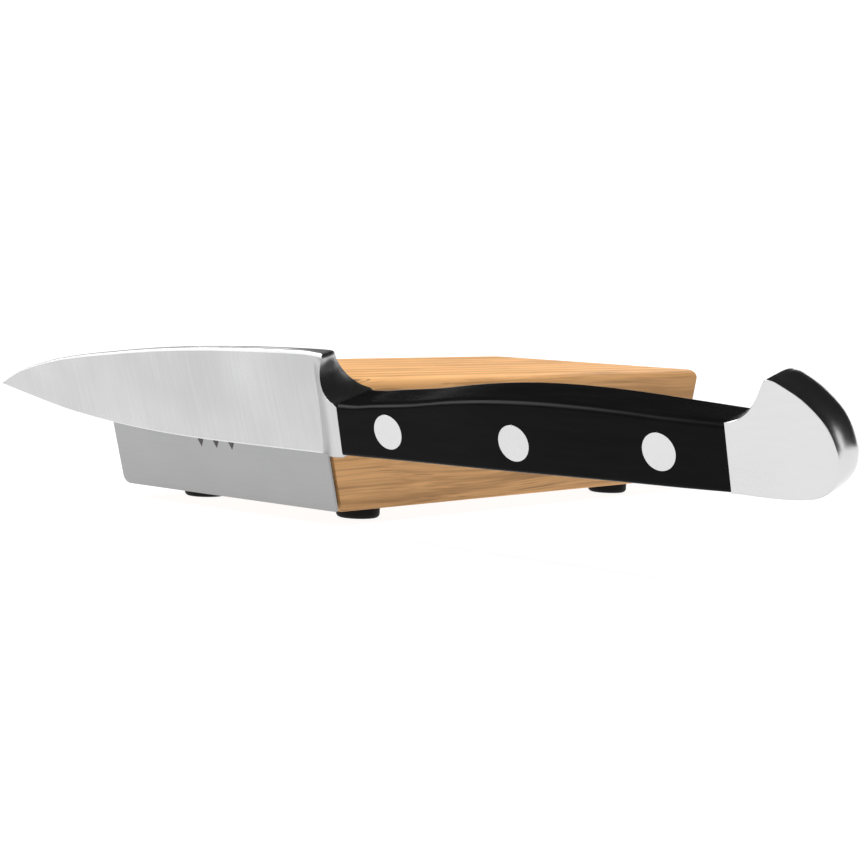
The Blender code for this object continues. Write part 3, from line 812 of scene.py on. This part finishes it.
def pommel_point(point, normal, inset, level, drop):
    """A point between the near face, level -1, and the far face, level 1, drop short of a face."""
    x = point.x
    on_horn = ease(x, *HORN_START) - ease(x, *HORN_END)
    rim_inset = inset * ease(x, SCALE_BACK, SCALE_BACK + 2.0) * mix(1.0, HORN_RIM_SHARE, on_horn)
    far_inset = FAR_ROUNDING * max(level, 0.0) ** 2 * ease(x, *FAR_ROUNDING_START)
    at = point - normal * (rim_inset + far_inset * max(normal.y, normal.x, 0.0))
    direction = Vector((math.cos(BULGE_ANGLE), math.sin(BULGE_ANGLE)))
    bulge = BUTT_BULGE * ease(normal.dot(direction), 0.0, 0.95) * ease(x, *BULGE_START)
    out = direction * bulge * (1 - level ** 2)
    depth = level * (pommel_half(at.x) - drop)
    return at.x + out.x, -KNIFE_DEPTH + depth, at.y + out.y


def pommel():
    """The pommel's side outline through its thickness, its butt bulging between soft rims."""
    outline = smoothed(POMMEL_OUTLINE, 8)
    normals = [outline_normal(outline, i) for i in range(len(outline))]
    r = POMMEL_RIM
    sections = [(r + 0.3, 0.0), (r + FIT_GAP, 0.0)]
    sections += [(r * (1 - math.sin(a)), r * (1 - math.cos(a)))
                 for a in (math.radians(18 * i) for i in range(6))]
    levels = [(inset, -1, drop) for inset, drop in sections]
    levels += [(0.0, i / 5, r) for i in range(-4, 5)]
    levels += [(inset, 1, drop) for inset, drop in reversed(sections)]
    return loft([[pommel_point(point, normal, *level) for point, normal in zip(outline, normals)]
                 for level in levels])


def knife_steel(blade_finishes, pommel_finish, place):
    blade = new_object("blade_and_bolster", blade_and_bolster(), place, blade_finishes)
    settle(blade, "knife", "forged_steel", "knife_forging")
    butt = new_object("pommel", pommel(), place, (pommel_finish,))
    sharpen(butt, 60)
    settle(butt, "knife", "forged_steel", "knife_forging")


def scale_section(x, lean, side):
    """Half of the handle's section at x, with extra points so that its flat side stays flat."""
    half, low, high = half_thickness(x), handle_bottom(x), handle_top(x)
    r = HANDLE_LOW_RADIUS
    section = [(HANDLE_MIDDLE_INSET, low)]
    section += [(half - r - 0.4, low)] + arc((half - r, low + r), r, 270, 360, 7)
    section += [(half, low + r + 0.5), (half, (low + high) / 2)]
    r = HANDLE_TOP_RADIUS
    section += [(half, high - r - 0.5)]
    section += arc((half - r, high - r), r, 0, 90, 7)
    section += [(half - r - 0.4, high), (HANDLE_MIDDLE_INSET, high)]
    middle = (low + high) / 2
    return [(x + lean * (z - middle), -KNIFE_DEPTH + side * y, z) for y, z in section]


def rivet_holes(place):
    """All the rivet holes of a scale as one cutter."""
    holes = bmesh.new()
    radius = RIVET_HEAD_RADIUS + RIVET_PLAY
    profile = [(0.0, -HOLE_REACH), (radius, -HOLE_REACH), (radius, HOLE_REACH), (0.0, HOLE_REACH)]
    for x, z in zip(RIVET_X, RIVET_Z):
        body = across_knife(turned(profile), x, z)
        mesh = bpy.data.meshes.new("hole")
        body.to_mesh(mesh)
        body.free()
        holes.from_mesh(mesh)
        bpy.data.meshes.remove(mesh)
    return new_object("rivet_holes", holes, place)


def handle_scales(surface, place):
    for node, side in (("scale_near", -1), ("scale_far", 1)):
        rings = []
        for i in range(SCALE_STEPS + 1):
            x = mix(SCALE_FRONT + SCALE_END_PLAY, SCALE_BACK - SCALE_END_PLAY, i / SCALE_STEPS)
            lean = FRONT_JOINT_LEAN * max(0.0, 1 - i / 6)
            rings.append(scale_section(x, lean, side))
        scale = new_object("handle_" + node, loft(rings), place, (surface,))
        carve(scale, rivet_holes(place))
        sharpen(scale, 30)
        settle(scale, "knife", "black_plastic", node)


def rivets(surface, place):
    """A tube half with the near head and a pin half with the far head."""
    for number, (x, z) in enumerate(zip(RIVET_X, RIVET_Z), 1):
        half, r, rim = half_thickness(x), RIVET_HEAD_RADIUS, RIVET_RIM
        seat = half - RIVET_HEAD_DEPTH
        head = [(RIVET_TUBE_RADIUS, seat), (r, seat)] + arc((r - rim, half - rim), rim, 0, 90, 3)
        head += [(r - 0.5, half + RIVET_CROWN / 2), (0.0, half + RIVET_CROWN)]
        for kind, end, way in (("tube", RIVET_TUBE_END, 1), ("pin", RIVET_PIN_END, -1)):
            half_rivet = [(0.0, end), (RIVET_TUBE_RADIUS, end)] + head
            profile = [(radius, way * height) for radius, height in half_rivet]
            node = f"rivet_{number}_{kind}"
            rivet = new_object("steel_" + node, across_knife(turned(profile), x, z), place, (surface,))
            sharpen(rivet, 60)
            settle(rivet, "knife", "rivet_steel", node)


# ---------------------------------------------------------------- studio

SWEEP_RADIUS = 2.4
SWEEP_CURVE = 0.44
NEAR_GLOW = 0.92
FAR_GLOW = 1.05

SCREEN_RADIUS = 1.6
CLOTH_SPAN = (-8, 62)
CLOTH_HEIGHT = 1.3
BOARD_SPAN = (80, 120)
BOARD_HEIGHT = 1.2
BOARD_GLOW = 0.9
WHITE = (1.0, 1.0, 1.0, 1.0)


def studio_sweep():
    """A round white floor that curves up into a low rim on every side, lit from below like a light table."""
    flat = SWEEP_RADIUS - SWEEP_CURVE
    profile = [(0.0, 0.0), (flat * 0.3, 0.0), (flat * 0.7, 0.0)]
    profile += arc((flat, SWEEP_CURVE), SWEEP_CURVE, -90, 0, 24)
    bm = turned([(r / MM, z / MM) for r, z in profile], segments=96)
    made, tree, shader = new_material("studio_white", 0.9, specular=0.1)
    sweep = new_object("studio_sweep", bm, finishes=(made,))
    speck = stretched_noise(tree, (60, 60, 60), detail=2.0)
    tree.links.new(blend_colours(tree, speck, (0.14, 0.14, 0.14), (0.16, 0.16, 0.16)),
                   shader.inputs["Base Color"])
    point = add(tree, "ShaderNodeTexCoord").outputs["Object"]
    reach = add(tree, "ShaderNodeVectorMath", {0: point}, operation="LENGTH").outputs["Value"]
    shader.inputs["Emission Color"].default_value = WHITE
    tree.links.new(between(tree, reach, 0.25, 1.2, NEAR_GLOW, FAR_GLOW), shader.inputs["Emission Strength"])


def screen(name, surface, span, height):
    """A screen round the object between two directions, for the steel to mirror."""
    bm = bmesh.new()
    line = arc((0, 0), SCREEN_RADIUS / MM, *span, 24)
    low = [bm.verts.new((x, y, 1.0)) for x, y in line]
    high = [bm.verts.new((x, y, height / MM)) for x, y in line]
    for i in range(len(line) - 1):
        bm.faces.new((low[i], low[i + 1], high[i + 1], high[i]))
    made = new_object(name, bm, finishes=(surface,))
    made.visible_camera = False


def screens():
    """Black cloth on the right and a glowing white board behind."""
    cloth = plain("black_cloth", (0.006, 0.006, 0.006), (0.010, 0.010, 0.010), 0.9, (200, 200, 200))
    screen("dark_flag", cloth, CLOTH_SPAN, CLOTH_HEIGHT)
    board = plain("white_board", (0.75, 0.75, 0.75), (0.80, 0.80, 0.80), 0.9, (200, 200, 200))
    shader = board.node_tree.nodes["Principled BSDF"]
    shader.inputs["Emission Color"].default_value = WHITE
    shader.inputs["Emission Strength"].default_value = BOARD_GLOW
    screen("bounce_board", board, BOARD_SPAN, BOARD_HEIGHT)


def softbox(name, place, target, size, watts, mirrored=True):
    """A round soft light; one that isn't mirrored lights surfaces without a highlight of its own."""
    data = bpy.data.lights.new(name, "AREA")
    data.shape = "DISK"
    data.size = size
    data.energy = watts
    light = bpy.data.objects.new(name, data)
    bpy.context.collection.objects.link(light)
    light.location = place
    light.rotation_euler = (Vector(target) - Vector(place)).to_track_quat("-Z", "Y").to_euler()
    light.visible_glossy = mirrored


def studio_light():
    softbox("overhead", (0.0, -0.2, 1.5), (0, 0, 0), 1.0, 31, mirrored=False)
    softbox("key", (-0.95, -0.65, 0.95), (0, 0, 0), 0.8, 13)
    world = bpy.data.worlds.new("studio_air")
    world.use_nodes = True
    world.node_tree.nodes["Background"].inputs["Color"].default_value = (0.02, 0.02, 0.02, 1.0)
    world.node_tree.nodes["Background"].inputs["Strength"].default_value = 1.0
    bpy.context.scene.world = world


CAMERA_FROM_PLATE = Vector((277.6, -294.3, 48.8))
CAMERA_YAW = math.radians(40.71)
CAMERA_PITCH = math.radians(4.56)
CAMERA_ROLL = math.radians(1.92)
CAMERA_LENS = 85.23


def camera(place):
    """Looks at the plate's right end from the front right, almost level, with a slight roll."""
    back = Vector((math.sin(CAMERA_YAW) * math.cos(CAMERA_PITCH),
                   -math.cos(CAMERA_YAW) * math.cos(CAMERA_PITCH), math.sin(CAMERA_PITCH)))
    side = (-back).cross(Vector((0, 0, 1))).normalized()
    up = side.cross(-back)
    right = math.cos(CAMERA_ROLL) * side + math.sin(CAMERA_ROLL) * up
    top = -math.sin(CAMERA_ROLL) * side + math.cos(CAMERA_ROLL) * up
    data = bpy.data.cameras.new("main_view")
    data.sensor_width = 36.0
    data.lens = CAMERA_LENS
    data.clip_start = 0.01
    view = bpy.data.objects.new("main_view", data)
    bpy.context.collection.objects.link(view)
    turn = Matrix((right, top, back)).transposed().to_4x4()
    view.matrix_world = Matrix.Translation(place.translation + CAMERA_FROM_PLATE * MM) @ turn
    bpy.context.scene.camera = view


def finish_hidden_nodes():
    """Better finishes for the CAD nodes that stay: the pieces inside the block."""
    nickel = plain("nickel_plating", (0.55, 0.54, 0.50), (0.66, 0.65, 0.61), 0.25, (300, 300, 300),
                   metallic=1.0, depth_mm=0.005)
    bar = plain("mill_steel", (0.24, 0.24, 0.25), (0.34, 0.34, 0.35), 0.5, (60, 900, 900),
                metallic=1.0, depth_mm=0.02)
    for name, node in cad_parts.items():
        if name.startswith("magnet_"):
            node.material_slots[0].material = nickel
        elif name == "backing_bar":
            node.material_slots[0].material = bar


def block(place):
    """The wood with its plate, the tape between them and the feet."""
    low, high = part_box("wood_block")
    knot = Vector((high.x, low.y, high.z)) + KNOT_FROM_CORNER
    wood_block(oiled_oak(tuple(knot)), place)
    # The marks' faces take a dark steel.
    face_plate(steel("plate_steel", (0.38, 0.38, 0.382), 0.45, (60, 900, 2400), contrast=0.015),
               steel("dark_mark_steel", (0.13, 0.12, 0.12), 0.60, (900, 900, 900)), place)
    bonding_tape(plain("dark_tape", (0.016, 0.010, 0.006), (0.03, 0.019, 0.012), 0.8, (800, 800, 800)),
                 place)
    feet(plain("black_rubber", (0.002, 0.002, 0.002), (0.005, 0.005, 0.005), 0.6, (1500, 1500, 1500),
               specular=0.15))


def knife(place):
    """The forging in its differently polished parts, the spine and the edge bevel in lighter steel as
    painted highlights, then the handle scales and the rivets.
    """
    along_blade = (2300, 300, 60)
    blade = steel("blade_steel", (0.545, 0.545, 0.548), 0.30, along_blade, contrast=0.08)
    # The spine is ground rougher; its much lighter shade than the blade is a painted highlight.
    spine = steel("spine_steel_painted_highlight", (0.90, 0.90, 0.90), 0.45, (60, 900, 900), contrast=0.03)
    # The edge bevel is polished smoother; its lighter shade than the blade is a painted highlight.
    edge = steel("edge_steel_painted_highlight", (0.70, 0.70, 0.70), 0.20, along_blade, contrast=0.02)
    butt = steel("pommel_steel", (0.65, 0.65, 0.65), 0.24, (250, 300, 1500), contrast=0.02)
    knife_steel((blade, spine, edge), butt, place)
    handle_scales(black_plastic(), place)
    rivets(steel("rivet_face_steel", (0.64, 0.64, 0.64), 0.26, (900, 900, 900), contrast=0.03), place)


def main():
    place = plate_frame()
    camera(place)
    studio_sweep()
    screens()
    studio_light()
    block(place)
    knife(place)
    finish_hidden_nodes()
    bpy.context.scene.view_settings.view_transform = "Standard"


main()
